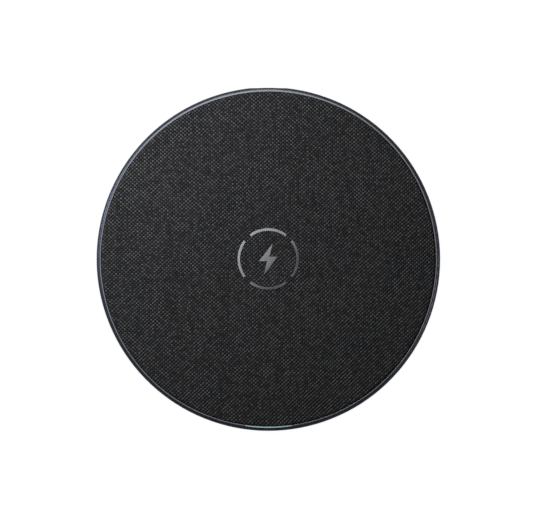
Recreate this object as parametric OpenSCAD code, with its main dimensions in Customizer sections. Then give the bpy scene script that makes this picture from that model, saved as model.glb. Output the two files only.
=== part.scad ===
// Round wireless charging pad with a cloth top, lying flat on a table.
// Millimetres. The table is z = 0, the pad's centre is the Z axis, and the USB-C socket faces +Y.

/* [Body] */
// Diameter of the pad at the widest part of the bezel
pad_d = 100; // [96:1:120]
// Height from the table to the top of the cloth
pad_h = 8; // [7.8:0.1:10]
// Height of the case's underside above the table
case_lift = 0.5; // [0.3:0.1:0.8]
// Gap between parts that drop into each other
fit_gap = 0.05; // [0.03:0.01:0.1]

/* [Bezel] */
// Thickness of the bezel at its widest, measured across the wall
bezel_wall = 3.6; // [3.2:0.1:4.5]
// Radius of the curved side in section
side_r = 10; // [8:0.5:14]
// Rounding between the side and the top land
top_round = 0.25; // [0.2:0.05:0.6]
// Rounding between the side and the underside
bottom_round = 0.8; // [0.4:0.1:1]
// Width of the bright land beside the cloth
land_w = 0.46; // [0.42:0.02:0.8]
// How far the land falls from its inner to its outer edge
land_fall = 0.06; // [0.02:0.01:0.1]
// How far the land's inner edge stays below the top of the cloth
land_drop = 0.1; // [0:0.05:0.3]
// Height of the bezel's underside above the case's underside
bezel_lift = 0.3; // [0.1:0.1:0.5]

/* [Top] */
// Thickness of the woven cloth
cloth_t = 0.5; // [0.3:0.05:0.7]
// Width of the hem that is turned under the plate
hem_w = 1.8; // [1.2:0.1:1.9]
// Thickness of the glue film between cloth and plate
film_t = 0.1; // [0.05:0.05:0.2]
// Thickness of the top plate
plate_t = 1.3; // [1.1:0.1:1.8]
// Outside diameter of the mark's broken ring
mark_d = 17.8; // [12:0.2:24]
// Width of the mark's ring
mark_line = 0.75; // [0.5:0.05:1.2]
// Thickness of the mark, which is pressed flush into the cloth
mark_t = 0.05; // [0.03:0.01:0.1]

/* [Coil] */
// Outside diameter of the coil's winding
coil_d = 44; // [40:1:46]
// Diameter of the Litz wire with its cover
wire_d = 1.1; // [0.9:0.05:1.1]
// Distance between neighbouring turns
turn_pitch = 1.16; // [1.14:0.01:1.3]
// Number of turns
turns = 10; // [7:1:10]
// Side of the square ferrite plate
ferrite_side = 50; // [48:1:52]
// Thickness of the ferrite plate
ferrite_t = 0.8; // [0.6:0.1:1]
// Thickness of the foam tape between coil and plate
foam_tape_t = 0.65; // [0.6:0.05:0.8]
// Thickness of the glue film between coil and ferrite
coil_film_t = 0.1; // [0.05:0.05:0.2]

/* [Case] */
// Thickness of the bottom cover's floor
floor_t = 1.2; // [1.1:0.1:1.6]
// Depth of the groove for the foot ring
foot_groove = 0.6; // [0.4:0.1:0.6]
// Width of the foot ring
foot_w = 8.2; // [7.5:0.1:9]
// Thickness of the glue ring above the foot ring
foot_glue_t = 0.1; // [0.05:0.05:0.15]
// Distance from the case's inner wall to the screw axes
screw_inset = 4.9; // [4.5:0.1:5.5]
// Outside diameter of the case screws' thread
screw_d = 2; // [1.8:0.1:2.2]
// Diameter of the case screws' heads
screw_head_d = 3.6; // [3.2:0.1:3.8]
// Thickness of the case screws' heads
screw_head_t = 0.9; // [0.7:0.1:1]

/* [Electronics] */
// Thickness of the main board
board_t = 1; // [0.8:0.1:1.2]
// Width of the main board
board_w = 49; // [47:0.5:50]
// Gap between the main board and the case floor
board_lift = 0.5; // [0.4:0.1:0.7]
// Height of the socket's middle above the main board's top
socket_rise = 0.6; // [0.55:0.05:0.7]
// Depth of the socket's mouth behind the bezel's widest point
socket_recess = 0.8; // [0.6:0.1:1]
// Length of the status light along the bezel
light_w = 14; // [8:1:18]

/* [Hidden] */
$fn = 96;
cut = 0.5; // how far a cutting shape runs past the face it cuts

// Levels, from the table up
case_z = case_lift;
bezel_z = case_z + bezel_lift;
floor_z = case_z + floor_t;
board_z = floor_z + board_lift;
board_top = board_z + board_t;
socket_z = board_top + socket_rise;
// Levels, from the cloth down
cloth_z = pad_h - cloth_t;
plate_top = cloth_z - film_t;
plate_z = plate_top - plate_t;
rebate_z = plate_z + cloth_t;
land_z = pad_h - land_drop - land_fall;
coil_z = plate_z - foam_tape_t - wire_d / 2;
ferrite_top = coil_z - wire_d / 2 - coil_film_t;
ferrite_z = ferrite_top - ferrite_t;

// Radii. A rounding that touches the curved side has its centre at round_centre.
pad_r = pad_d / 2;
inner_r = pad_r - bezel_wall;
side_centre = [pad_r - side_r, socket_z];
function round_centre(z, radius) =
    [side_centre.x + sqrt((side_r - radius) ^ 2 - (z - socket_z) ^ 2), z];
top_centre = round_centre(land_z - top_round, top_round);
bottom_centre = round_centre(bezel_z + bottom_round, bottom_round);
opening_r = top_centre.x - land_w;
cloth_r = opening_r - fit_gap;
plate_r = cloth_r - cloth_t;
hem_r = cloth_r - hem_w;
film_r = plate_r - 0.4;
cover_r = inner_r + 0.8;

// Foot ring and case screws
screw_r = inner_r - screw_inset;
screw_angles = [45, 135, 225, 315];
foot_r = screw_r + foot_w / 2 - 0.6;
groove_z = case_z + foot_groove;
screw_head_z = groove_z + 0.1;
screw_seat_z = screw_head_z + screw_head_t;
boss_z = screw_seat_z + 1;
boss_d = 5;
screw_pad_d = 6.4;
screw_tip_z = plate_z + 0.3;
thread_pitch = 0.4;

// Socket
socket_w = 8.94;
socket_h = 3.16;
socket_wall = 0.3;
socket_len = 7.3;
socket_gap = 0.28;
window_flare = 0.7;
socket_y = pad_r - socket_recess;
socket_rear = socket_y - socket_len;
tongue_w = 6.69;
tongue_t = 0.6;
tongue_len = 4.45;
tongue_y = socket_y - 0.9 - tongue_len;
contact_w = 0.25;
contact_t = 0.05;
contact_xs = [-2.75, -1.25, -0.75, -0.25, 0.25, 0.75, 1.25, 2.75];
leg_t = 0.3;
leg_w = 0.8;
leg_ys = [socket_rear + 0.4, socket_rear + 1.8];
leg_x = socket_w / 2 + 0.65;

// Main board and the wall that stands round it
rim_t = 0.7;
rim_h = 1.3;
rim_r = inner_r - 0.1;
board_r = rim_r - rim_t - 0.2;
board_y = ferrite_side / 2 + 1.5;
board_cut_y = socket_rear - 0.2;
stake_d = 1.6;
stakes = [[3.2 - board_w / 2, board_y + 2.2], [board_w / 2 - 3, board_y + 9.3],
    [-8.4, board_cut_y + 1.2], [8.4, board_cut_y + 1.2]];

// Status light
light_angle = light_w / pad_r * 180 / PI;
blade_t = 0.3;
guide_z = plate_z - 1.25;
guide_top = plate_z - fit_gap;
led_r = inner_r - 2.6;
led_size = [1.6, 0.8, 0.6];
led_board_size = [14, 4.6, 0.8];
led_board_z = guide_z - fit_gap - led_size.z - led_board_size.z;
led_board_y = 1.3 - led_r;
led_posts = [[-5.6, led_board_y + 0.2], [5.6, led_board_y + 0.2]];
led_post_d = 1.2;

// Winding, its inner lead, sensor and ribbon
eye_r = (coil_d - wire_d - (2 * turns - 1) * turn_pitch) / 2;
coil_centre = [-turn_pitch / 4, -turn_pitch / 2];
coil_start = [coil_centre.x, coil_centre.y + eye_r];
coil_end = [coil_centre.x, coil_centre.y + eye_r + turns * turn_pitch];
lead_x = 4.6;
lead_z = coil_z + wire_d + 0.08;
channel_top = lead_z + wire_d / 2 + 0.06;
sensor_d = plate_z - ferrite_top - fit_gap;
sensor_wire_d = 0.4;
ribbon_w = 2.6;
ribbon_t = 0.2;
ribbon_r = screw_r - screw_pad_d / 2 - 0.15 - ribbon_w / 2;
ribbon_angle = acos((board_w / 2 + 1.25) / ribbon_r);

// ---- shared shapes ----

// A flat ring of thickness t that stands on z
module ring(r, inner, z, t)
    translate([0, 0, z]) difference() {
        cylinder(r = r, h = t);
        translate([0, 0, -cut]) cylinder(r = inner, h = t + 2 * cut);
    }

// A box that stands on z, centred on x and y
module block(x, y, z, size)
    translate([x - size.x / 2, y - size.y / 2, z]) cube(size);

// A bar with full round ends, w by h
module round_bar(w, h) {
    square([w - h, h], center = true);
    for (side = [-1, 1]) translate([side * (w - h) / 2, 0]) circle(d = h);
}

// The socket's outline from y on, over a length
module socket_bar(w, h, y, length)
    translate([0, y + length, socket_z]) rotate([90, 0, 0]) linear_extrude(length) round_bar(w, h);

// What stands at each case screw
module at_screws()
    for (angle = screw_angles) rotate([0, 0, angle]) translate([screw_r, 0, 0]) children();

function unit(v) = v / norm(v);

// A section swept along an angle in the middle of the pad's front
module at_front(angle)
    rotate([0, 0, -90 - angle / 2]) rotate_extrude(angle = angle) children();

// Wires and ribbons of width w and thickness t are made of three pieces. Each starts at the
// origin and heads along +x: a straight, a bend that turns left, and a step that climbs by h
// over a length of l.
module sector(radius, angle, w)
    translate([0, radius]) difference() {
        far = 2 * (radius + w);
        circle(r = radius + w / 2);
        circle(r = radius - w / 2);
        rotate(-90) translate([-far, -far]) square([2 * far, far]);
        rotate(angle - 90) translate([-far, 0]) square([2 * far, far]);
    }

module straight(l, w, t)
    translate([0, -w / 2, -t / 2]) cube([l, w, t]);

module bend(radius, angle, w, t)
    translate([0, 0, -t / 2]) linear_extrude(t) sector(radius, angle, w);

// The step's side view: a smooth curve with the wire's thickness laid off on both sides
function climb_at(u) = 3 * u ^ 2 - 2 * u ^ 3;
function step_edge(l, h, side) =
    [for (i = [0:12]) let (u = i / 12, slope = 6 * u * (1 - u) * h / l)
        [u * l, climb_at(u) * h] + side * [-slope, 1] / norm([slope, 1])];
module step(l, h, w, t) {
    back = step_edge(l, h, -t / 2);
    rotate([90, 0, 0]) translate([0, 0, -w / 2]) linear_extrude(w)
        polygon(concat(step_edge(l, h, t / 2), [for (i = [12:-1:0]) back[i]]));
}

// ---- cloth, mark and plate ----

// The mark: a ring in four arcs round a lightning bolt
module mark_outline() {
    difference() {
        circle(d = mark_d);
        circle(d = mark_d - 2 * mark_line);
        for (angle = [45, 135]) rotate(angle) square([mark_d + cut, 3 * mark_line], center = true);
    }
    scale(mark_d / 17.8)
        polygon([[1.3, 4.6], [-2.7, -0.65], [-0.35, -0.65], [-1.3, -4.6], [2.7, 0.65], [0.35, 0.65]]);
}

module printed_mark()
    color("silver") translate([0, 0, pad_h - mark_t]) linear_extrude(mark_t) mark_outline();

module cloth_section()
    difference() {
        translate([0, plate_z]) square([cloth_r, pad_h - plate_z]);
        translate([-cut, plate_z - cut]) square([hem_r + cut, cloth_z - plate_z + cut]);
        translate([hem_r - cut, rebate_z]) square([plate_r - hem_r + cut, cloth_z - rebate_z]);
        for (end = [[pad_h - cloth_t, 0], [plate_z + cloth_t, -1]])
            translate([plate_r, end[0]]) difference() {
                translate([0, end[1] * 2 * cloth_t]) square(2 * cloth_t);
                circle(r = cloth_t);
            }
    }

module fabric_cover()
    color("#2b2c2e") difference() {
        rotate_extrude() cloth_section();
        translate([0, 0, pad_h - mark_t]) linear_extrude(mark_t + cut) mark_outline();
    }

module fabric_glue_film()
    color("khaki") translate([0, 0, plate_top]) cylinder(r = film_r, h = film_t);

// Ribs under the plate that hold the ferrite's corners from the side
rib_t = 0.8;
rib_len = 6;
module ferrite_ribs()
    for (angle = [0:90:270]) rotate([0, 0, angle])
        translate([ferrite_side / 2 + 0.15, ferrite_side / 2 + 0.15, ferrite_z + 0.1]) {
            translate([0, -rib_len, 0]) cube([rib_t, rib_len + rib_t, plate_top - 0.4 - ferrite_z]);
            translate([-rib_len, 0, 0]) cube([rib_len + rib_t, rib_t, plate_top - 0.4 - ferrite_z]);
        }

module top_plate()
    color("dimgray") difference() {
        union() {
            translate([0, 0, plate_z]) cylinder(r = hem_r - fit_gap, h = plate_top - plate_z);
            translate([0, 0, rebate_z]) cylinder(r = plate_r, h = plate_top - rebate_z);
            at_screws() translate([0, 0, boss_z]) cylinder(d = boss_d, h = plate_top - 0.3 - boss_z);
            ferrite_ribs();
        }
        at_screws() translate([0, 0, boss_z - cut])
            cylinder(r = screw_d / 2 + 0.02, h = screw_tip_z + 0.2 - boss_z + cut);
        translate([0, 0, plate_z - cut]) linear_extrude(channel_top - plate_z + cut) {
            translate([-0.4, coil_start.y - 0.8]) square([lead_x + 1.2, 1.6]);
            translate([lead_x - 0.8, coil_start.y]) square([1.6, board_y + 1 - coil_start.y]);
        }
    }

// ---- bezel and light ----

// Everything beyond a rounding, between the curved side and the flat face it leads to
module beyond_round(centre, radius, face) {
    far = 3;
    translate(centre) difference() {
        polygon([[0, 0], unit(centre - side_centre) * far, [far, face * far], [0, face * far]]);
        circle(r = radius);
    }
}

module bezel_section()
    difference() {
        union() {
            intersection() {
                translate(side_centre) circle(r = side_r);
                translate([inner_r, bezel_z]) square([bezel_wall + cut, land_z - bezel_z]);
            }
            polygon([[opening_r - cut, land_z - cut], [top_centre.x, land_z - cut], [top_centre.x, land_z],
                [opening_r - cut, land_z + land_fall * (1 + cut / land_w)]]);
        }
        translate([0, plate_z]) square([opening_r, pad_h]);
        translate([0, 0]) square([cover_r + fit_gap, floor_z]);
        beyond_round(top_centre, top_round, 1);
        beyond_round(bottom_centre, bottom_round, -1);
    }

// The light guide: a leg over the LEDs and a blade that rises into the land
blade_r = opening_r + blade_t;
module guide_section()
    polygon([[led_r - 0.9, guide_z], [blade_r - 0.6, guide_z], [blade_r, guide_z + 0.6],
        [blade_r, land_z + land_fall * (1 - blade_t / land_w)], [opening_r, land_z + land_fall],
        [opening_r, guide_top], [led_r - 0.9, guide_top]]);

module guide_slot_section() {
    translate([inner_r - cut, guide_z - fit_gap])
        square([blade_r + fit_gap - inner_r + cut, plate_z + cut - guide_z]);
    translate([opening_r - cut, guide_z]) square([blade_t + fit_gap + cut, pad_h]);
}

// The window for the socket, flared towards its mouth
module socket_window() {
    w = socket_w + 2 * socket_gap;
    h = socket_h + 2 * socket_gap;
    socket_bar(w, h, inner_r - 2, bezel_wall + 3);
    reach = 2;
    translate([0, sqrt(pad_r ^ 2 - (w / 2 + window_flare) ^ 2) - window_flare, socket_z])
        rotate([-90, 0, 0]) {
            for (side = [-1, 1]) translate([side * (w - h) / 2, 0, 0])
                cylinder(r1 = h / 2, r2 = h / 2 + reach, h = reach);
            rotate([0, -90, 0]) translate([0, 0, (h - w) / 2]) linear_extrude(w - h)
                polygon([[0, -h / 2], [reach, -h / 2 - reach], [reach, h / 2 + reach], [0, h / 2]]);
        }
}

module bezel_ring()
    color("#3a3f4a") difference() {
        rotate_extrude() bezel_section();
        at_front(light_angle + 0.2) guide_slot_section();
        socket_window();
    }

module light_guide()
    color("#9fd8d0") at_front(light_angle) guide_section();

// ---- coil ----

// Half rings whose centres lie half a pitch apart, so that each runs on into the next. The
// wire is pressed to a square section.
module winding()
    translate([coil_centre.x, coil_centre.y, coil_z - wire_d / 2]) linear_extrude(wire_d)
        for (i = [0:2 * turns - 1]) {
            r = eye_r + i * turn_pitch / 2;
            translate([0, (i % 2) * turn_pitch / 2]) difference() {
                circle(r = r + wire_d / 2);
                circle(r = r - wire_d / 2);
                translate([i % 2 == 0 ? 0 : -2 * r, -2 * r]) square([2 * r, 4 * r]);
            }
        }

// The inner end steps up over the winding and crosses it in the plate's channel; both ends
// then step down to their pads on the main board.
lead_turn = 1.2;
pad_z = board_top + wire_d / 2 + 0.02;
module inner_lead() {
    climb = 1.2;
    level = lead_x - lead_turn - coil_start.x - climb;
    start_y = coil_start.y + lead_turn;
    translate([coil_start.x, coil_start.y, coil_z]) step(climb, lead_z - coil_z, wire_d, wire_d);
    translate([coil_start.x + climb, coil_start.y, lead_z]) {
        straight(level, wire_d, wire_d);
        translate([level, 0, 0]) bend(lead_turn, 90, wire_d, wire_d);
    }
    translate([lead_x, start_y, lead_z]) rotate([0, 0, 90]) {
        run = board_y - 2.3 - start_y;
        straight(run, wire_d, wire_d);
        translate([run, 0, 0]) step(4, pad_z - lead_z, wire_d, wire_d);
    }
    translate([lead_x, board_y + 1.7, pad_z]) rotate([0, 0, 90]) straight(1.6, wire_d, wire_d);
}

module outer_lead() {
    run = 2.5;
    turn = 2;
    end_x = coil_end.x - run - turn;
    translate([coil_end.x, coil_end.y, coil_z]) mirror([1, 0, 0]) {
        straight(run, wire_d, wire_d);
        translate([run, 0, 0]) bend(turn, 90, wire_d, wire_d);
    }
    translate([end_x, coil_end.y + turn, coil_z]) rotate([0, 0, 90]) {
        straight(board_y - 1.4 - coil_end.y - turn, wire_d, wire_d);
        translate([board_y - 1.4 - coil_end.y - turn, 0, 0]) step(2.6, pad_z - coil_z, wire_d, wire_d);
    }
    translate([end_x, board_y + 1.2, pad_z]) rotate([0, 0, 90]) straight(2, wire_d, wire_d);
}

module transmitter_coil()
    color("peru") {
        winding();
        inner_lead();
        outer_lead();
    }

module coil_foam_tape()
    color("slategray") difference() {
        ring(coil_end.y - 0.5, coil_start.y + 1.2, plate_z - foam_tape_t, foam_tape_t);
        translate([-2.2, 0, plate_z - foam_tape_t - cut]) cube([lead_x + 3.1, coil_d, 2]);
    }

module coil_glue_film()
    color("khaki") ring(coil_end.y + 0.5, coil_start.y - 0.6, ferrite_top, coil_film_t);

module ferrite_shield()
    color("#26262a") translate([0, 0, ferrite_z]) linear_extrude(ferrite_t)
        difference() {
            square(ferrite_side, center = true);
            for (angle = [45:90:315]) rotate(angle)
                translate([ferrite_side / sqrt(2) + 1, 0]) square(4, center = true);
        }

module support_foam()
    color("#3c3c3c") block(0, 0, floor_z, [36, 36, ferrite_z - floor_z]);

// A glass bead against the plate, with two thin wires that cross the winding to the board
module temperature_sensor()
    color("#b5652b") translate([-1.6, 0, 0]) {
        t = sensor_wire_d;
        z = coil_z + wire_d / 2 + t / 2 + 0.1;
        low = board_top + t / 2 + 0.02;
        translate([0, 0, plate_z - sensor_d / 2]) sphere(d = sensor_d);
        for (x = [-0.3, 0.3]) translate([x, 0, 0]) rotate([0, 0, 90]) {
            translate([0.2, 0, z]) straight(board_y - 3, t, t);
            translate([board_y - 2.8, 0, z]) step(4.2, low - z, t, t);
            translate([board_y + 1.4, 0, low]) straight(1.6, t, t);
        }
    }

// ---- main board ----

module board_outline()
    difference() {
        intersection() {
            circle(r = board_r);
            translate([-board_w / 2, board_y]) square([board_w, pad_r]);
        }
        translate([-socket_w / 2 - 0.15, board_cut_y]) square([socket_w + 0.3, pad_r]);
        rotate(ribbon_angle) translate([ribbon_r - ribbon_w / 2 - 0.4, -8]) square([8, 10.9]);
        for (p = stakes) translate(p) circle(d = stake_d + 0.2);
        for (side = [-1, 1], y = leg_ys)
            translate([side * (leg_x + leg_t / 2), y + leg_w / 2]) square([leg_t + 0.2, leg_w + 0.2], center = true);
    }

module main_board()
    color("darkgreen") translate([0, 0, board_z]) linear_extrude(board_t) board_outline();

module socket_shell()
    color("lightgray") {
        difference() {
            socket_bar(socket_w, socket_h, socket_rear, socket_len);
            socket_bar(socket_w - 2 * socket_wall, socket_h - 2 * socket_wall, socket_rear - cut, socket_len + 1);
        }
        for (side = [0, 1], y = leg_ys) mirror([side, 0, 0]) {
            translate([4.18, y, board_top]) cube([leg_x + leg_t - 4.18, leg_w, leg_t]);
            translate([leg_x, y, board_z - 0.2]) cube([leg_t, leg_w, board_t + 0.2 + leg_t]);
        }
    }

// One contact's outline in y and z: it lies on the tongue, runs back and steps down to the board
module contact_line(level, tail_y) {
    foot = 0.4;
    polygon([[tongue_y + tongue_len - 0.15, level], [tongue_y + tongue_len - 0.15, level + contact_t],
        [tail_y, level + contact_t], [tail_y, board_top + contact_t], [tail_y - foot, board_top + contact_t],
        [tail_y - foot, board_top], [tail_y + contact_t, board_top], [tail_y + contact_t, level]]);
}

module socket_contacts()
    color("gold") for (x = contact_xs) translate([x - contact_w / 2, 0, 0])
        rotate([90, 0, 90]) linear_extrude(contact_w) {
            contact_line(socket_z + tongue_t / 2, socket_rear - 1.5);
            contact_line(socket_z - tongue_t / 2 - contact_t, socket_rear - 0.5);
        }

module socket_tongue()
    color("#1c1c1c") difference() {
        union() {
            block(0, tongue_y + tongue_len / 2 - 0.2, socket_z - tongue_t / 2,
                [tongue_w, tongue_len + 0.4, tongue_t]);
            block(0, tongue_y + 0.3, socket_z - 0.65, [tongue_w + 0.5, 1.2, 1.3]);
            socket_bar(socket_w - 2 * socket_wall - 0.04, socket_h - 2 * socket_wall - 0.04,
                socket_rear + 0.05, tongue_y - socket_rear - 0.05);
        }
        for (x = contact_xs, z = [tongue_t / 2, -tongue_t / 2 - contact_t])
            translate([x - contact_w / 2, socket_rear - 1, socket_z + z])
                cube([contact_w, tongue_len + 8, contact_t]);
    }

// ---- parts on the main board; y counts from the board's front edge ----

module part_at(x, y, size)
    block(x, board_y + y, board_top, size);

// A chip with leads along its four lower edges
module chip(x, y, side, height, pins) {
    part_at(x, y, [side, side, height]);
    pitch = (side - 1) / (pins - 1);
    for (turn = [0:90:270], i = [0:pins - 1])
        translate([x, board_y + y, board_top]) rotate([0, 0, turn])
            translate([side / 2 - 0.3, i * pitch - (side - 1) / 2 - 0.11, 0]) cube([0.38, 0.22, 0.2]);
}

module controller_chip()
    color("#202124") difference() {
        chip(-5.4, 8.8, 5, 0.85, 8);
        translate([-7.2, board_y + 10.6, board_top + 0.8]) cylinder(d = 0.6, h = 1);
    }

module power_chip()
    color("#202124") difference() {
        chip(7.4, 8.6, 4, 0.8, 6);
        translate([6.1, board_y + 9.9, board_top + 0.75]) cylinder(d = 0.5, h = 1);
    }

// Four flat transistors, each with a metal tab beside its moulded body
module switching_transistors()
    color("#2a2a2d") for (x = [-17.4, -13.1], y = [7.6, 11.9]) {
        part_at(x, y, [3.3, 2.9, 0.8]);
        part_at(x, y + 1.5, [2.6, 0.6, 0.25]);
        for (i = [-1.5:1.5]) part_at(x + i * 0.65, y - 1.5, [0.35, 0.5, 0.25]);
    }

module power_inductor()
    color("#55575a") {
        translate([13.8, board_y + 9.4, board_top]) linear_extrude(2) difference() {
            square(5, center = true);
            for (angle = [45:90:315]) rotate(angle) translate([3.9, 0]) square(1.6, center = true);
        }
        for (side = [-1, 1]) part_at(13.8 + side * 2.4, 9.4, [0.5, 2.2, 0.3]);
    }

// A body between two end caps that stand slightly proud of it
module chip_part(x, y, size, turn) {
    s = turn ? [size.y, size.x, size.z] : size;
    end = turn ? [s.x, s.y * 0.2, s.z] : [s.x * 0.2, s.y, s.z];
    body = turn ? [s.x - 0.1, s.y * 0.8, s.z - 0.05] : [s.x * 0.8, s.y - 0.1, s.z - 0.05];
    part_at(x, y, body);
    for (side = [-1, 1])
        part_at(x + (turn ? 0 : side * s.x * 0.4), y + (turn ? side * s.y * 0.4 : 0), end);
}

module resonance_capacitors()
    color("#b98c5a") for (i = [0:3]) chip_part(-18.2 + i * 3.1, 3, [3.2, 2.5, 2], true);

module filter_capacitors()
    color("#c49a6a") {
        for (p = [[9.2, 3.2], [11.9, 3.2], [14.6, 3.2], [17.3, 5]]) chip_part(p.x, p.y, [2, 1.25, 1.2], true);
        for (x = [-2.2, 2.2]) chip_part(x, 12.5, [2, 1.25, 1.2], false);
    }

module chip_resistors()
    color("#33363a") {
        for (p = [[-9.9, 7], [-9.9, 8.8], [-9.9, 10.6], [3.9, 10.6], [3.9, 6.6], [11.2, 13.6]])
            chip_part(p.x, p.y, [1, 0.5, 0.4], true);
        for (p = [[-5.4, 5.1], [-7.2, 13], [-5.6, 13], [7.4, 12.2], [7.4, 5.4], [0.6, 6.2]])
            chip_part(p.x, p.y, [1, 0.5, 0.4], false);
    }

module clock_crystal()
    color("silver") {
        part_at(0.4, 9.2, [2.5, 3.2, 0.5]);
        part_at(0.4, 9.2, [2.1, 2.8, 0.7]);
    }

module thermal_pad()
    color("lightsteelblue") block(-15.2, board_y + 9.8, floor_z, [9, 8.4, board_lift]);

// ---- status light board ----

module indicator_board()
    color("darkgreen") difference() {
        block(0, led_board_y, led_board_z, led_board_size);
        for (p = led_posts) translate([p.x, p.y, led_board_z - cut]) cylinder(d = led_post_d + 0.2, h = 2);
    }

module indicator_leds()
    color("white") for (x = [-2.6, 2.6])
        block(x, -led_r, led_board_z + led_board_size.z, led_size);

// A flat printed ribbon on the case floor, along the inside of the screw pads. One end turns
// out under the indicator board, the other climbs through the main board's corner notch.
module indicator_ribbon()
    color("#c98a3c") translate([0, 0, floor_z + ribbon_t / 2]) {
        t = ribbon_t;
        w = ribbon_w - 0.2;
        first = acos(1.2 / ribbon_r);
        foot = -led_board_y - 2.3 - ribbon_r - 0.8;
        up_led = led_board_z - t - floor_z;
        up_board = board_top + 0.02 - floor_z;
        translate([0, 0, -t / 2]) rotate([0, 0, -first]) rotate_extrude(angle = first + ribbon_angle)
            translate([ribbon_r - ribbon_w / 2, 0]) square([ribbon_w, t]);
        translate([2.1, 0.8 - ribbon_r, 0]) rotate([0, 0, -90]) {
            straight(foot, w, t);
            translate([foot, 0, 0]) step(1.8, up_led, w, t);
            translate([foot + 1.8, 0, up_led]) straight(1.9, w, t);
        }
        rotate([0, 0, ribbon_angle]) translate([ribbon_r, -0.3, 0]) rotate([0, 0, 90]) {
            straight(0.3, w, t);
            translate([0.3, 0, 0]) step(2.6, up_board, w, t);
            translate([2.9, 0, up_board]) straight(1.8, w, t);
        }
    }

// ---- case ----

// A post on the floor whose pin goes through a board and ends in a melted head
module stake(p, top, thickness, post_d, pin_d, head_d) {
    translate([p.x, p.y, floor_z - 0.2]) cylinder(d = post_d, h = top - floor_z + 0.2);
    translate([p.x, p.y, top - 0.1]) cylinder(d = pin_d, h = thickness + 0.2);
    translate([p.x, p.y, top + thickness]) cylinder(d1 = head_d, d2 = head_d * 0.6, h = 0.5);
}

module bottom_cover()
    color("#2e2f31") difference() {
        union() {
            translate([0, 0, case_z]) cylinder(r = cover_r, h = floor_t);
            difference() {
                ring(rim_r, rim_r - rim_t, floor_z - 0.2, rim_h + 0.2);
                block(0, rim_r, floor_z, [2 * leg_x + 2, 8, 8]);
            }
            at_screws() translate([0, 0, floor_z - 0.2]) cylinder(d = screw_pad_d, h = boss_z - floor_z + 0.2);
            for (p = stakes) stake(p, board_z, board_t, 3, stake_d, 2.6);
            for (p = led_posts) stake(p, led_board_z, led_board_size.z, 2.2, led_post_d, 1.9);
        }
        ring(foot_r + 0.1, foot_r - foot_w - 0.1, case_z - cut, foot_groove + cut);
        at_screws() translate([0, 0, case_z]) {
            cylinder(d = screw_head_d + 0.3, h = screw_seat_z - case_z);
            cylinder(d = screw_d + 0.2, h = 5);
        }
    }

// A screw's half outline: head, neck and a thread of plain ridges
module screw_section() {
    core = screw_d / 2 - 0.22;
    length = screw_tip_z - screw_seat_z;
    ridges = floor((length - 1.2) / thread_pitch);
    polygon(concat([[0, 0], [screw_head_d / 2 - 0.15, 0], [screw_head_d / 2, 0.15],
        [screw_head_d / 2, screw_head_t], [core, screw_head_t]],
        [for (i = [0:ridges - 1]) let (z = screw_head_t + 0.6 + i * thread_pitch)
            each [[core, z], [screw_d / 2, z + 0.15], [core, z + 0.3]]],
        [[core, screw_head_t + length - 0.4], [0.3, screw_head_t + length], [0, screw_head_t + length]]));
}

module case_screws()
    color("silver") at_screws() translate([0, 0, screw_head_z]) difference() {
        rotate_extrude($fn = 48) screw_section();
        for (turn = [0, 90]) rotate([0, 0, turn]) block(0, 0, -cut, [2, 0.4, cut + 0.5]);
    }

module foot_glue_ring()
    color("khaki") ring(foot_r - 0.3, foot_r - foot_w + 0.3, groove_z - foot_glue_t, foot_glue_t);

module foot_ring()
    color("#3b3c3e") rotate_extrude() {
        top = groove_z - foot_glue_t;
        edge = 0.2;
        polygon([[foot_r - foot_w, top], [foot_r - foot_w, edge], [foot_r - foot_w + edge, 0],
            [foot_r - edge, 0], [foot_r, edge], [foot_r, top]]);
    }

fabric_cover();
printed_mark();
fabric_glue_film();
top_plate();
bezel_ring();
light_guide();
coil_foam_tape();
transmitter_coil();
coil_glue_film();
ferrite_shield();
support_foam();
temperature_sensor();
main_board();
socket_shell();
socket_tongue();
socket_contacts();
controller_chip();
power_chip();
switching_transistors();
power_inductor();
resonance_capacitors();
filter_capacitors();
chip_resistors();
clock_crystal();
indicator_board();
indicator_leds();
indicator_ribbon();
thermal_pad();
bottom_cover();
case_screws();
foot_glue_ring();
foot_ring();
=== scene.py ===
"""Finishes and soft pieces of a round wireless charging pad with a woven top.

Metres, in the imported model's frame: the table is z = 0, the pad's centre is the Z axis and the
socket faces +Y."""
import math
import bpy
import numpy as np
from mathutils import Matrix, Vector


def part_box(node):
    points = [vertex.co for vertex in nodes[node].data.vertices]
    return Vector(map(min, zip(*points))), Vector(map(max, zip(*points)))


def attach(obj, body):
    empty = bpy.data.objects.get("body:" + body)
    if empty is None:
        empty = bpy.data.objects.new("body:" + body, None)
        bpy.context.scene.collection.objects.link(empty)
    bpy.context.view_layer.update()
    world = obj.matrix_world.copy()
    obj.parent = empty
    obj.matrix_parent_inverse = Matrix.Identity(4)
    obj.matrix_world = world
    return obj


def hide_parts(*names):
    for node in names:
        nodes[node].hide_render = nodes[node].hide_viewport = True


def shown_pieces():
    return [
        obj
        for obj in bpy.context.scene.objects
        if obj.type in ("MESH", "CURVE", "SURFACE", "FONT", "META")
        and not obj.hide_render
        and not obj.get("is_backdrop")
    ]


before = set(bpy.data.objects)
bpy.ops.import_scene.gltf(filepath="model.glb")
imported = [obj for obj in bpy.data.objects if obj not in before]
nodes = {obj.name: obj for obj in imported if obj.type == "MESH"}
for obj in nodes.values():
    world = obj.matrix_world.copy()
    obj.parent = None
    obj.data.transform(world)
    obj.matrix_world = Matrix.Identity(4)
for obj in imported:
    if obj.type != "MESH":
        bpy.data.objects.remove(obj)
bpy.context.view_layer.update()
MM = 0.001

# Corners of the boxes round the pad's nodes
cloth_low, cloth_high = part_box("fabric_cover")
mark_low, mark_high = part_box("printed_mark")
bezel_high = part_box("bezel_ring")[1]
guide_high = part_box("light_guide")[1]

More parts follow.
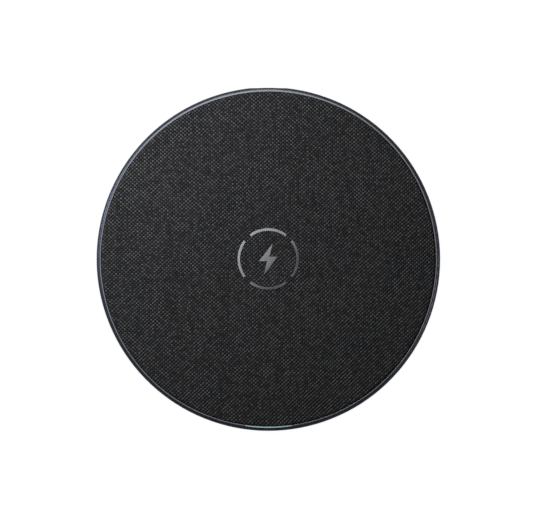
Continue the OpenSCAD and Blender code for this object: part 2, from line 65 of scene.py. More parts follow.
# Cloth: its thickness, and the width of the hem under the plate
CLOTH_T = 0.5 * MM
HEM_W = 1.8 * MM

# Weave: one thread in each direction per cell, turned a little from the pad's axes. The holes
# lie deepest and the weft's crowns a little below the warp's. The print presses the crowns down,
# on the mark and a margin round it
WARP_PITCH = 0.589 * MM
WEFT_PITCH = 0.533 * MM
WEAVE_TURN = math.radians(0.8)
HOLE_DROP = 0.11 * MM
WEFT_DROP = 0.25 * HOLE_DROP
PRINT_DROP = 0.08 * MM
PRINT_MARGIN = 0.15 * MM

# Lean of the crowns, where 0.5 is none: in the pad's middle, what each warp and each weft thread
# adds to it, and how far it wanders
LEAN = 0.578
LEAN_BY_THREAD = (0.0007, -0.001)
LEAN_WANDER = 0.25

# Bright land of the bezel: its outer radius and how softly it ends there, how far its centre
# lies from the pad's, and the depths below the top between which it fades. Moving the centre
# towards the lit back left widens the land there, a painted highlight, and narrows it at the
# front, painted shade
LAND_R = 48.85 * MM
LAND_SOFT = 0.07 * MM
LAND_PAINTED_LIGHT_SHIFT = (-0.04 * MM, 0.14 * MM)
LAND_DEPTH = (0.2 * MM, 0.3 * MM)

# Foam tape on the coil: its width, and the two sides of the channel for the leads
FOAM_RING_W = 9.9 * MM
FOAM_CHANNEL = (-2.4 * MM, 5.7 * MM)

# Mark: a ring in four arcs round a bolt. Its edges wander with the threads, and its top dips
# between the crowns
MARK_D = 17.8 * MM
MARK_LINE = 0.75 * MM
MARK_WANDER = 0.012 * MM
MARK_DIP = 0.008 * MM
BOLT_LEFT = np.array([[1.3, 4.6], [-2.7, -0.65], [-0.35, -0.65], [-1.3, -4.6]]) * MM
BOLT_RIGHT = -BOLT_LEFT[::-1]

# Colour of the chips' leads and the inductor's feet
TIN = (0.55, 0.55, 0.53)


# ---- camera, lights and floor ----

def make_camera():
    """A long lens straight above the pad, with the socket's side at the top of the view."""
    data = bpy.data.cameras.new("camera")
    data.lens = 150
    data.sensor_width = 36
    camera = bpy.data.objects.new("camera", data)
    camera.location = (1.34 * MM, -0.27 * MM, 666.2 * MM)
    bpy.context.scene.collection.objects.link(camera)
    bpy.context.scene.camera = camera


def softbox(name, place, size, power, colour, only=None):
    """A square studio light that faces the pad's centre and doesn't show itself. It is flagged
    off everything but the pieces in only, where that is given."""
    data = bpy.data.lights.new(name, "AREA")
    data.shape = "SQUARE"
    data.size = size
    data.energy = power
    data.color = colour
    lamp = bpy.data.objects.new(name, data)
    lamp.location = place
    lamp.rotation_euler = (-lamp.location).to_track_quat("-Z", "Y").to_euler()
    lamp.visible_camera = False
    bpy.context.scene.collection.objects.link(lamp)
    if only:
        reached = bpy.data.collections.new("lit_by_" + name)
        for piece in only:
            reached.objects.link(piece)
        lamp.light_linking.receiver_collection = reached


def make_studio():
    """Even light from all round, a large softbox above, and a close key light behind on the left
    for all pieces but the rim. The rim has its own: low ones at the right, the left and the back
    that draw a soft line along it, a weaker key light and a small one above. All but the even
    light and the large softbox are flagged off the floor, so that the pad throws no hard shadow."""
    world = bpy.data.worlds.new("studio")
    bpy.context.scene.world = world
    world.use_nodes = True
    background = world.node_tree.nodes["Background"]
    background.inputs["Color"].default_value = (0.92, 0.95, 1.0, 1)
    background.inputs["Strength"].default_value = 0.07
    rim = [nodes["bezel_ring"], nodes["light_guide"]]
    others = [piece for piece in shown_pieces() if piece not in rim]
    softbox("top_light", (0.0, 0.0, 1.3), 1.0, 2.1, (1.0, 0.99, 0.98))
    softbox("right_light", (0.6, -0.02, 0.11), 0.2, 3.6, (1.0, 0.98, 0.95), rim)
    softbox("left_light", (-0.57, 0.22, 0.10), 0.19, 13.0, (0.68, 0.79, 1.0), rim)
    softbox("back_light", (-0.06, 0.6, 0.10), 0.12, 5.0, (0.93, 0.96, 1.0), rim)
    softbox("key_light", (-0.112, 0.106, 0.10), 0.16, 0.84, (0.97, 0.98, 1.0), others)
    softbox("rim_key_light", (-0.05, 0.16, 0.13), 0.16, 0.175, (0.95, 0.97, 1.0), rim)
    softbox("rim_top_light", (0.01, -0.08, 0.5), 0.15, 0.23, (1.0, 0.99, 0.97), rim)
    bpy.context.scene.view_settings.view_transform = "Standard"


def make_floor(finish_of):
    """A plain pale floor, wide enough to fill every view. It lies a hair under the foot's face,
    so that the two don't share a plane."""
    half = 12.0
    level = -0.02 * MM
    mesh = bpy.data.meshes.new("floor")
    mesh.from_pydata([(-half, -half, level), (half, -half, level), (half, half, level),
                      (-half, half, level)], [], [(0, 1, 2, 3)])
    floor = bpy.data.objects.new("floor", mesh)
    floor.data.materials.append(finish_of)
    bpy.context.scene.collection.objects.link(floor)
    floor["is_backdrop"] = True


# ---- shader maths ----

class Wire:
    """A node's output. Arithmetic on it adds Math nodes, and node() adds any other node."""

    def __init__(self, material, socket):
        self.material = material
        self.socket = socket

    def node(self, kind, settings, inputs, output=0):
        """A new node with its settings, then the values or links of its inputs."""
        tree = self.material.node_tree
        made = tree.nodes.new(kind)
        for name, value in settings.items():
            setattr(made, name, value)
        for name, value in inputs.items():
            socket = made.inputs[name]
            if isinstance(value, Wire):
                tree.links.new(value.socket, socket)
            elif socket.type == "RGBA" and len(value) == 3:
                socket.default_value = (*value, 1)
            else:
                socket.default_value = value
        return Wire(self.material, made.outputs[output])

    def math(self, operation, first, second=0.0):
        """A Math node on one or two values."""
        return self.node("ShaderNodeMath", {"operation": operation}, {0: first, 1: second})

    def __add__(self, other):
        return self.math("ADD", self, other)

    def __radd__(self, other):
        return self.math("ADD", other, self)

    def __sub__(self, other):
        return self.math("SUBTRACT", self, other)

    def __rsub__(self, other):
        return self.math("SUBTRACT", other, self)

    def __mul__(self, other):
        return self.math("MULTIPLY", self, other)

    def __rmul__(self, other):
        return self.math("MULTIPLY", other, self)

    def __truediv__(self, other):
        return self.math("DIVIDE", self, other)

    def __rtruediv__(self, other):
        return self.math("DIVIDE", other, self)

    def __abs__(self):
        return self.math("ABSOLUTE", self)


def begin(name, uv=None):
    """A new material and its pattern coordinates: the object's, or the piece's own map."""
    material = bpy.data.materials.new(name)
    material.use_nodes = True
    start = Wire(material, None)
    if uv:
        return start.node("ShaderNodeUVMap", {"uv_map": uv}, {})
    return start.node("ShaderNodeTexCoord", {}, {}, "Object")


def finish(at, colour, roughness, bump=None, height=0.01 * MM, metallic=0.0, fixed=None):
    """Joins the patterns to the shader. What is in fixed is the same all over the surface."""
    shader = at.material.node_tree.nodes["Principled BSDF"]
    varied = {"Base Color": colour, "Roughness": roughness, "Metallic": metallic}
    if bump is not None:
        varied["Normal"] = at.node("ShaderNodeBump", {}, {"Height": bump, "Distance": height})
    for name, value in {**varied, **(fixed or {})}.items():
        if isinstance(value, Wire):
            at.material.node_tree.links.new(value.socket, shader.inputs[name])
        elif isinstance(value, tuple):
            shader.inputs[name].default_value = (*value, 1)
        else:
            shader.inputs[name].default_value = value
    return at.material


def parts(at):
    """The x, y and z of a vector."""
    split = at.node("ShaderNodeSeparateXYZ", {}, {0: at}).socket.node
    return [Wire(at.material, split.outputs[axis]) for axis in range(3)]


def vector(x, y, z=0.0):
    """A vector from numbers or wires, of which x is a wire."""
    return x.node("ShaderNodeCombineXYZ", {}, {0: x, 1: y, 2: z})


def noise(at, size, detail=3.0, roughness=0.5):
    """Soft noise from 0 to 1 with features of about that size."""
    return at.node("ShaderNodeTexNoise", {},
                   {"Vector": at, "Scale": 1 / size, "Detail": detail, "Roughness": roughness})


def cells(at, size):
    """Distance to the nearest of points scattered about that size apart."""
    return at.node("ShaderNodeTexVoronoi", {}, {"Vector": at, "Scale": 1 / size})


def smooth(value, low, high):
    """0 below low, 1 above high, with a soft change between them."""
    return value.node("ShaderNodeMapRange", {"interpolation_type": "SMOOTHSTEP"},
                      {"Value": value, "From Min": low, "From Max": high})


def clamp(value):
    """A number kept between 0 and 1."""
    return value.node("ShaderNodeClamp", {}, {"Value": value})


def mix(share, first, second):
    """A colour between two others."""
    return share.node("ShaderNodeMix", {"data_type": "RGBA"}, {0: share, 6: first, 7: second}, 2)


def tint(colour, amount):
    """A colour made lighter or darker by a number, through a Mix node."""
    return mix(amount, (0, 0, 0), colour)


def wave(value):
    """The cosine of a number in half turns: 1 at even numbers, -1 at odd ones."""
    return value.math("COSINE", value * math.pi)


def nearest(value):
    """The nearest whole number."""
    return value.math("ROUND", value)


def radius_of(at):
    """Distance from the pad's axis, the angle round it from -1 to 1 in half turns, and z."""
    x, y, z = parts(at)
    flat = vector(x, y)
    radius = at.node("ShaderNodeVectorMath", {"operation": "LENGTH"}, {0: flat}, "Value")
    return radius, at.math("ARCTAN2", y, x) / math.pi, z


# ---- finishes of the outside ----

def woven_finish():
    """Plain weave of a heathered light warp over a black weft. The map counts threads, and cells
    where the sum of both counts is even have the warp on top. Twisted yarn leans each crown, so
    crowns join along one diagonal in places, and more so towards the front right. Slubs make
    some crowns thick and bright and others thin."""
    at = begin("woven_cloth", uv="threads")
    warp, weft, _ = parts(at)
    lean = LEAN + LEAN_BY_THREAD[0] * warp + LEAN_BY_THREAD[1] * weft \
        + LEAN_WANDER * (noise(at, 30, 2) - 0.5)
    over = wave(warp - weft) * lean + wave(warp + weft) * (1 - lean)
    cell = vector(nearest(warp), nearest(weft))
    chance = at.node("ShaderNodeTexWhiteNoise", {"noise_dimensions": "2D"}, {"Vector": cell})
    warp_tone = noise(vector(nearest(warp), weft * 0.03), 0.7, 2)
    weft_tone = noise(vector(warp * 0.03, nearest(weft), 7.0), 0.7, 2)
    fibre = noise(vector(warp * 9 + weft * 4, weft * 1.5 - warp * 0.7), 1.0, 3)
    slub = noise(vector(warp, weft, 3.0), 0.75, 1)
    crown = smooth(over, -0.35, 0.85)
    share = crown * (0.25 + 0.75 * chance) * (0.4 + 1.2 * warp_tone) * (0.7 + 0.6 * fibre)
    share = share * (0.3 + 1.4 * slub) + 0.32 * (slub - 0.5)
    patch = 0.9 + 0.2 * noise(at, 55, 2)
    weft_colour = tint((0.0046, 0.0047, 0.0052), 0.4 + weft_tone)
    colour = tint(mix(clamp(share), weft_colour, (0.082, 0.082, 0.084)), clamp(patch * 0.9))
    return finish(at, colour, 0.82 + 0.12 * fibre, abs(over) + 0.22 * fibre, 0.09 * MM,
                  fixed={"Specular IOR Level": 0.12, "Sheen Weight": 0.02, "Sheen Roughness": 0.4})


def print_finish():
    """Grey heat-transfer film: matt, slightly cloudy, with the weave showing through. It grows
    darker towards the front right along one diagonal: painted shade of the light falling off
    across the mark."""
    at = begin("printed_film", uv="threads")
    warp, weft, _ = parts(at)
    weave = wave(2 * warp) + wave(2 * weft)
    cloud = noise(at, 6.0)
    grain = noise(at, 0.15)
    # Painted shade: the print darkens towards the front right, along x minus y
    painted_shade = smooth(warp * WARP_PITCH - weft * WEFT_PITCH, -0.6 * MARK_D, 0.6 * MARK_D)
    ink_and_painted_shade = clamp(0.95 - 0.9 * painted_shade + 0.25 * (cloud - 0.5) + 0.3 * (grain - 0.5))
    colour = mix(ink_and_painted_shade, (0.043, 0.0425, 0.048), (0.232, 0.235, 0.243))
    return finish(at, colour, 0.5 + 0.15 * grain, 0.3 * weave + grain, 0.012 * MM,
                  fixed={"Specular IOR Level": 0.35})


def bezel_finish():
    """Dark blue-grey anodised aluminium, bead-blasted, with a bright turned land beside the
    cloth. The land is told by its height and its radius. Its circle is moved towards the lit back
    left, which widens it there as a painted highlight and narrows it at the front as painted shade."""
    at = begin("bezel_anodised")
    radius, turn, _ = radius_of(at)
    x, y, z = parts(at)
    # Painted highlight and shade: the land's circle is moved towards the lit back left, so the land
    # is wider there and narrower at the front
    light_shifted_r = radius - (LAND_PAINTED_LIGHT_SHIFT[0] * x + LAND_PAINTED_LIGHT_SHIFT[1] * y) / radius
    land = (1 - smooth(light_shifted_r, LAND_R - LAND_SOFT, LAND_R)) \
        * smooth(z, bezel_high.z - LAND_DEPTH[1], bezel_high.z - LAND_DEPTH[0])
    blast = noise(at, 0.05 * MM, 2)
    cloud = noise(at, 9 * MM, 3)
    lines = noise(vector(radius * 60, turn * 0.02, z * 60), 1.2 * MM, 3)
    body = mix(cloud * 0.7 + blast * 0.3, (0.024, 0.0255, 0.030), (0.043, 0.0455, 0.055))
    cut = mix(lines, (0.206, 0.211, 0.222), (0.304, 0.312, 0.326))
    return finish(at, mix(land, body, cut), 0.42 + 0.1 * cloud - land * 0.06,
                  blast * (1 - land) + lines * land, 0.006 * MM, metallic=1.0,
                  fixed={"Specular Tint": (0.34, 0.34, 0.36)})


def guide_finish():
    """Milky light guide that glows very faintly. Its teal is painted glow of the lamps under it,
    which fades into grey at both ends, where they don't reach."""
    at = begin("light_guide_milky")
    haze = noise(at, 0.8 * MM)
    end = smooth(abs(parts(at)[0]), 0.45 * guide_high.x, guide_high.x)
    # Painted glow: the teal base colour stands for the lamps' light inside the guide
    teal = mix(haze, (0.31, 0.43, 0.395), (0.43, 0.56, 0.52))
    grey = tint((0.34, 0.35, 0.355), 0.8 + 0.3 * haze)
    return finish(at, mix(end, teal, grey), 0.34 + 0.1 * haze, haze, 0.004 * MM,
                  fixed={"Emission Color": (0.10, 0.75, 0.62), "Emission Strength": 0.025})


def moulded_finish(name, dark, light, grain, rough=0.55):
    """Moulded plastic with a spark-eroded grain and slow changes of colour and gloss."""
    at = begin(name)
    fine = cells(at, grain)
    cloud = noise(at, 14 * MM, 4)
    return finish(at, mix(cloud, dark, light), rough + 0.16 * cloud + 0.1 * fine,
                  fine + 0.5 * noise(at, grain / 2), grain * 0.14,
                  fixed={"Specular IOR Level": 0.4})


def silicone_finish():
    """Soft matt silicone with a fine skin, a little dust and lighter worn places."""
    at = begin("foot_silicone")
    skin = noise(at, 0.12 * MM, 3)
    dust = smooth(noise(at, 0.7 * MM, 5, 0.7), 0.6, 0.75)
    wear = noise(at, 11 * MM, 3)
    return finish(at, mix(dust * 0.35 + wear * 0.3, (0.030, 0.031, 0.033), (0.085, 0.085, 0.083)),
                  0.62 + 0.2 * wear, skin, 0.012 * MM, fixed={"Specular IOR Level": 0.35})


def steel_finish(name, dark, light, stretch, rough=0.24):
    """Plated metal with drawn lines: noise that is stretched along one axis, and faint stains."""
    at = begin(name)
    x, y, z = parts(at)
    drawn = noise(vector(x * stretch[0], y * stretch[1], z * stretch[2]), 0.05 * MM, 3)
    stain = noise(at, 1.6 * MM, 4)
    return finish(at, mix(drawn * 0.5 + stain * 0.5, dark, light), rough + 0.14 * stain, drawn,
                  0.003 * MM, metallic=1.0)


# ---- finishes of the inside ----

def glue_finish():
    """Acrylic glue film: pale and cloudy, with small trapped bubbles."""
    at = begin("glue_film")
    bubble = smooth(cells(at, 1.1 * MM), 0.12, 0.2)
    cloud = noise(at, 5 * MM)
    return finish(at, mix(cloud * bubble, (0.42, 0.38, 0.27), (0.62, 0.58, 0.44)),
                  0.3 + 0.2 * cloud, bubble, 0.01 * MM)


def foam_finish():
    """Open-cell foam: scattered pores of two sizes in a lighter skin, painted darker as shade."""
    at = begin("foam_grey")
    pore = smooth(cells(at, 0.42 * MM), 0.1, 0.5)
    small = smooth(cells(at, 0.17 * MM), 0.1, 0.5)
    # Painted shade: the pores are coloured darker than the skin
    return finish(at, mix(pore * small, (0.018, 0.018, 0.019), (0.085, 0.086, 0.088)),
                  0.92 - 0.05 * pore, pore + 0.5 * small, 0.06 * MM,
                  fixed={"Specular IOR Level": 0.15})


def litz_finish():
    """Litz wire: enamelled strands twisted round each turn, so fine lines cross the winding at a
    slant. The lines follow the angle and the radius round the coil."""
    at = begin("litz_wire")
    lay_pitch = 1.9 * MM
    strand_pitch = 0.28 * MM
    radius, turn, z = radius_of(at)
    lay = turn * (radius / lay_pitch) * math.pi
    strand = wave(2 * (lay + (radius + z) / strand_pitch))
    stain = noise(at, 2.5 * MM, 4)
    share = 0.25 + 0.25 * strand + 0.4 * stain
    return finish(at, mix(share, (0.17, 0.042, 0.012), (0.60, 0.235, 0.075)), 0.34 + 0.15 * stain,
                  strand, 0.035 * MM, metallic=0.75, fixed={"Coat Weight": 0.4})


def ferrite_finish():
    """Sintered ferrite: near black, with fine pits, bright grains and ground streaks."""
    at = begin("ferrite_plate")
    x, y, z = parts(at)
    grain = cells(at, 0.09 * MM)
    ground = noise(vector(x * 0.05, y, z), 0.16 * MM, 3)
    spark = smooth(noise(at, 0.07 * MM, 2), 0.66, 0.75)
    return finish(at, mix(spark * 0.5 + ground * 0.3, (0.017, 0.017, 0.019), (0.12, 0.12, 0.125)),
                  0.4 + 0.2 * ground, grain + ground, 0.012 * MM, metallic=0.3 * spark)


def sensor_finish():
    """A glass bead at the pad's centre, on two enamelled wires that run off along Y."""
    at = begin("sensor_bead_and_wire")
    bead_end, wire_start = 0.9 * MM, 1.1 * MM
    wire = smooth(parts(at)[1], bead_end, wire_start)
    swirl = noise(at, 0.3 * MM, 3)
    glass = mix(swirl, (0.30, 0.10, 0.025), (0.44, 0.17, 0.05))
    enamel = tint((0.50, 0.14, 0.05), 0.8 + 0.3 * swirl)
    return finish(at, mix(wire, glass, enamel), 0.12 + 0.2 * wire + 0.08 * swirl, swirl,
                  0.004 * MM, fixed={"Coat Weight": 0.5, "Coat Roughness": 0.1})


def board_finish():
    """Solder mask over copper: tracks show as lighter, raised lines on a square grid, with bare
    laminate on the cut edges and tinned vias."""
    at = begin("board_green")
    x, y, _ = parts(at)
    step = 0.5 * MM
    bend = nearest(noise(at, 3.2 * MM, 1) * 7)
    lane_x = abs(wave((x + bend * step) / step))
    lane_y = abs(wave((y + bend * step) / step))
    pick = smooth(noise(at, 4.5 * MM, 0), 0.49, 0.51)
    track = smooth(lane_x * pick + lane_y * (1 - pick), 0.55, 0.75)
    via = 1 - smooth(cells(at, 2.3 * MM), 0.085, 0.1)
    normal = at.node("ShaderNodeNewGeometry", {}, {}, "Normal")
    edge = 1 - smooth(abs(parts(normal)[2]), 0.4, 0.6)
    mask = mix(track, (0.006, 0.055, 0.02), (0.012, 0.12, 0.045))
    colour = mix(edge, mix(via, mask, (0.62, 0.60, 0.55)), (0.28, 0.25, 0.10))
    return finish(at, colour, 0.3 + 0.35 * edge + 0.1 * noise(at, 1.0 * MM), track * 0.6 + via,
                  0.02 * MM, metallic=0.8 * via * (1 - edge), fixed={"Coat Weight": 0.3})


def chip_finish(name, node):
    """Moulded epoxy with a fine grain. What lies close to the board is a tinned lead."""
    at = begin(name)
    lead_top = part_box(node)[0].z + 0.25 * MM
    lead = 1 - smooth(parts(at)[2], lead_top, lead_top + 0.02 * MM)
    grain = noise(at, 0.06 * MM, 3)
    cloud = noise(at, 1.8 * MM)
    epoxy = mix(0.5 * grain + 0.5 * cloud, (0.011, 0.011, 0.012), (0.035, 0.035, 0.037))
    return finish(at, mix(lead, epoxy, TIN), 0.55 - 0.25 * lead + 0.1 * cloud, grain, 0.008 * MM,
                  metallic=lead)


def ceramic_finish(name, body_dark, body_light, node):
    """Chip parts: a fired body between tinned ends, which stand higher than the body."""
    at = begin(name)
    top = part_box(node)[1].z
    cap = smooth(parts(at)[2], top - 0.04 * MM, top - 0.02 * MM)
    speck = noise(at, 0.1 * MM, 4)
    body = mix(speck, body_dark, body_light)
    tinned = tint((0.72, 0.72, 0.70), 0.7 + 0.4 * speck)
    return finish(at, mix(cap, body, tinned), 0.4 - 0.12 * cap + 0.1 * speck, speck, 0.006 * MM,
                  metallic=cap)


def inductor_finish():
    """Pressed iron powder: dark grey grains with lighter edges and patches, over tinned feet."""
    at = begin("inductor_powder")
    foot_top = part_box("power_inductor")[0].z + 0.3 * MM
    foot = 1 - smooth(parts(at)[2], foot_top, foot_top + 0.02 * MM)
    powder = cells(at, 0.16 * MM)
    cloud = noise(at, 1.4 * MM, 3)
    body = mix(powder * 0.5 + cloud * 0.5, (0.05, 0.05, 0.052), (0.115, 0.114, 0.112))
    return finish(at, mix(foot, body, TIN), 0.62 - 0.3 * foot + 0.15 * cloud, powder, 0.012 * MM,
                  metallic=foot)


def led_finish():
    """A white LED body with a yellow lens patch on top."""
    at = begin("led_body")
    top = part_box("indicator_leds")[1].z
    lens = smooth(parts(at)[2], top - 0.06 * MM, top - 0.03 * MM)
    grain = noise(at, 0.12 * MM)
    body = tint((0.82, 0.82, 0.80), 0.85 + 0.15 * grain)
    return finish(at, mix(lens, body, (0.80, 0.62, 0.10)), 0.35 - 0.2 * lens + 0.1 * grain, grain,
                  0.004 * MM)


def ribbon_finish():
    """Amber polyimide ribbon with copper conductors that follow its arc."""
    at = begin("ribbon_polyimide")
    lane = 0.3 * MM
    track = smooth(wave(radius_of(at)[0] / lane), 0.1, 0.5)
    cloud = noise(at, 2 * MM)
    film = tint((0.50, 0.20, 0.035), 0.8 + 0.3 * cloud)
    return finish(at, mix(track, film, (0.62, 0.30, 0.13)), 0.25 + 0.15 * cloud, track, 0.02 * MM,
                  metallic=0.35 * track, fixed={"Coat Weight": 0.4})


def floor_finish():
    """A plain white light table."""
    at = begin("floor_white")
    return finish(at, (0.9, 0.9, 0.9), 0.9,
                  fixed={"Emission Color": (1.0, 1.0, 1.0), "Emission Strength": 0.88})


# ---- soft and modelled pieces ----

def piece_from(name, points, faces, finish_of, uvs=None):
    """A shown mesh piece from arrays of points and faces, with an optional thread map that gives
    each point's thread counts."""
    mesh = bpy.data.meshes.new(name)
    mesh.from_pydata(points.tolist(), [], faces.tolist())
    if uvs is not None:
        corners = np.empty(len(mesh.loops), np.int32)
        mesh.loops.foreach_get("vertex_index", corners)
        threads = mesh.uv_layers.new(name="threads")
        threads.uv.foreach_set("vector", uvs[corners].astype(np.float32).ravel())
    mesh.polygons.foreach_set("use_smooth", np.ones(len(mesh.polygons), bool))
    mesh.materials.append(finish_of)
    mesh.validate()
    made = bpy.data.objects.new(name, mesh)
    bpy.context.scene.collection.objects.link(made)
    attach(made, "root")
    return made


def to_threads(flat):
    """Thread counts at flat places: the place turned into the weave's axes, over the pitches."""
    c, s = math.cos(WEAVE_TURN), math.sin(WEAVE_TURN)
    return np.stack([(flat[:, 0] * c + flat[:, 1] * s) / WARP_PITCH,
                     (flat[:, 1] * c - flat[:, 0] * s) / WEFT_PITCH], 1)


def from_threads(counts):
    """Flat places of thread counts, the opposite of to_threads."""
    c, s = math.cos(WEAVE_TURN), math.sin(WEAVE_TURN)
    x, y = counts[:, 0] * WARP_PITCH, counts[:, 1] * WEFT_PITCH
    return np.stack([x * c - y * s, x * s + y * c], 1)


def wrap(reach, rim, top, low, t):
    """The cloth's section by the distance from its centre along the cloth: flat, a quarter turn
    of radius t over the edge, straight down, a quarter turn under it, then flat and inwards.
    Gives the radius, the height and the two parts of the outward normal."""
    flat = rim - t
    quarter = t * math.pi / 2
    wall = top - low - 2 * t
    over = np.clip((reach - flat) / t, 0, math.pi / 2)
    down = np.clip(reach - flat - quarter, 0, wall)
    under = np.clip((reach - flat - quarter - wall) / t, 0, math.pi / 2)
    inward = np.maximum(reach - flat - 2 * quarter - wall, 0)
    radius = np.minimum(reach, flat) + t * np.sin(over) - t * (1 - np.cos(under)) - inward
    height = top - t * (1 - np.cos(over)) - down - t * np.sin(under)
    return radius, height, np.sin(over + under), np.cos(over + under)


def on_mark(flat, margin):
    """Whether flat places lie on the mark, grown by a margin: in the ring's band, or between
    the bolt's left and right edge lines as they run down the Y axis."""
    radius = np.hypot(flat[:, 0], flat[:, 1])
    ring = np.abs(radius - (MARK_D - MARK_LINE) / 2) < MARK_LINE / 2 + margin
    tip = BOLT_LEFT[0, 1]
    down = np.clip(-flat[:, 1], -tip, tip)
    # Each edge line has a level step, whose end is put a hair further down, so that places rise
    hair = [0, 0, 1e-9, 0]
    left = np.interp(down, -BOLT_LEFT[:, 1] + hair, BOLT_LEFT[:, 0])
    right = np.interp(down, -BOLT_RIGHT[:, 1] + hair, BOLT_RIGHT[:, 0])
    bolt = (flat[:, 0] > left - margin) & (flat[:, 0] < right + margin)
    return ring | (bolt & (np.abs(flat[:, 1]) < tip + margin))


def make_cloth(finish_of):
    """The woven top as a closed sheet. Its outside is a lattice of cells, one for each crossing
    of threads: four triangles between the crown in the middle and the holes at the corners, which
    lie lower. The lattice is wrapped over the rim and under the plate by its distance from the
    centre. The inside is a few rings that start from the hem's edge and end in the middle."""
    wall = cloth_high.z - cloth_low.z - 2 * CLOTH_T
    reach_end = cloth_high.x - CLOTH_T + CLOTH_T * math.pi + wall + HEM_W - CLOTH_T
    half_u = int(reach_end / WARP_PITCH) + 2
    half_v = int(reach_end / WEFT_PITCH) + 2
    cols, rows = 2 * half_u + 1, 2 * half_v + 1
    across, along = np.arange(cols) - half_u, np.arange(rows) - half_v
    crowns = np.stack(np.meshgrid(across, along, indexing="ij"), -1)
    across, along = np.arange(cols + 1) - half_u - 0.5, np.arange(rows + 1) - half_v - 0.5
    holes = np.stack(np.meshgrid(across, along, indexing="ij"), -1)
    counts = np.concatenate([crowns.reshape(-1, 2), holes.reshape(-1, 2)])
    flat = from_threads(counts)
    reach = np.hypot(flat[:, 0], flat[:, 1])
    kept = reach[:cols * rows].reshape(cols, rows) < reach_end

    i, j = np.nonzero(kept)
    middle = i * rows + j
    corner = [cols * rows + (i + a) * (rows + 1) + j + b
              for a, b in ((0, 0), (1, 0), (1, 1), (0, 1))]
    lattice = np.concatenate([np.stack([middle, corner[k], corner[(k + 1) % 4]], 1)
                              for k in range(4)])
    uses = np.bincount(np.concatenate(corner), minlength=len(counts))
    edge = np.nonzero((uses > 0) & (uses < 4))[0]
    flat[edge] *= (reach_end / reach[edge])[:, None]
    reach[edge] = reach_end
    edge = edge[np.argsort(np.arctan2(flat[edge, 1], flat[edge, 0]))]

    radius, height, out, up = wrap(reach, cloth_high.x, cloth_high.z, cloth_low.z, CLOTH_T)
    is_hole = np.arange(len(counts)) >= cols * rows
    weft_up = counts.sum(1) % 2 == 1
    drop = np.where(is_hole, HOLE_DROP, np.where(weft_up, WEFT_DROP, 0))
    drop = np.where(on_mark(flat, PRINT_MARGIN), np.maximum(drop, PRINT_DROP), drop)
    turn = np.arctan2(flat[:, 1], flat[:, 0])
    across = radius - drop * out
    points = np.stack([across * np.cos(turn), across * np.sin(turn), height - drop * up], 1)

    inner_r = cloth_high.x - CLOTH_T
    hem_r = cloth_high.x - HEM_W
    floor_z, ceiling_z = cloth_low.z + CLOTH_T, cloth_high.z - CLOTH_T
    rings = [(hem_r, floor_z), (inner_r, floor_z), (inner_r, ceiling_z), (inner_r * 0.5, ceiling_z)]
    n = len(edge)
    ring_points = [np.stack([r * np.cos(turn[edge]), r * np.sin(turn[edge]), np.full(n, z)], 1)
                   for r, z in rings]
    start = len(points)
    ids = [edge] + [start + k * n + np.arange(n) for k in range(len(rings))]
    walls = [half for a, b in zip(ids, ids[1:])
             for half in (np.stack([np.roll(a, -1), a, b], 1),
                          np.stack([np.roll(a, -1), b, np.roll(b, -1)], 1))]
    pole = start + len(rings) * n
    walls.append(np.stack([np.roll(ids[-1], -1), ids[-1], np.full(n, pole)], 1))
    points = np.concatenate([points, *ring_points, [[0, 0, ceiling_z]]])
    threads = np.concatenate([to_threads(flat), to_threads(points[start:])])
    faces = np.concatenate([lattice, *walls])
    used, faces = np.unique(faces, return_inverse=True)
    made = piece_from("woven_top", points[used], faces.reshape(-1, 3), finish_of,
                      threads[used])
    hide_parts("fabric_cover")
    return made, reach_end


def slab(across, top, bottom):
    """A closed film over a grid of flat places: the same grid at both heights, joined by walls.
    Gives points and faces."""
    rows, cols = across.shape[:2]
    flat = across.reshape(-1, 2)
    points = np.concatenate([np.column_stack([flat, top.ravel()]),
                             np.column_stack([flat, bottom.ravel()])])
    ids = np.arange(rows * cols).reshape(rows, cols)
    a, b, c, d = ids[:-1, :-1], ids[1:, :-1], ids[1:, 1:], ids[:-1, 1:]
    up = np.stack([a, b, c, d], -1).reshape(-1, 4)
    border = np.concatenate([ids[:-1, 0], ids[-1, :-1], ids[:0:-1, -1], ids[0, :0:-1]])
    after = np.roll(border, -1)
    under = rows * cols
    wall = np.stack([after, border, border + under, after + under], 1)
    return points, np.concatenate([up, up[:, ::-1] + under, wall])


def merged(pieces):
    """Points and faces of several closed shapes as one."""
    shift = np.cumsum([0] + [len(points) for points, _ in pieces[:-1]])
    return (np.concatenate([points for points, _ in pieces]),
            np.concatenate([faces + start for (_, faces), start in zip(pieces, shift)]))


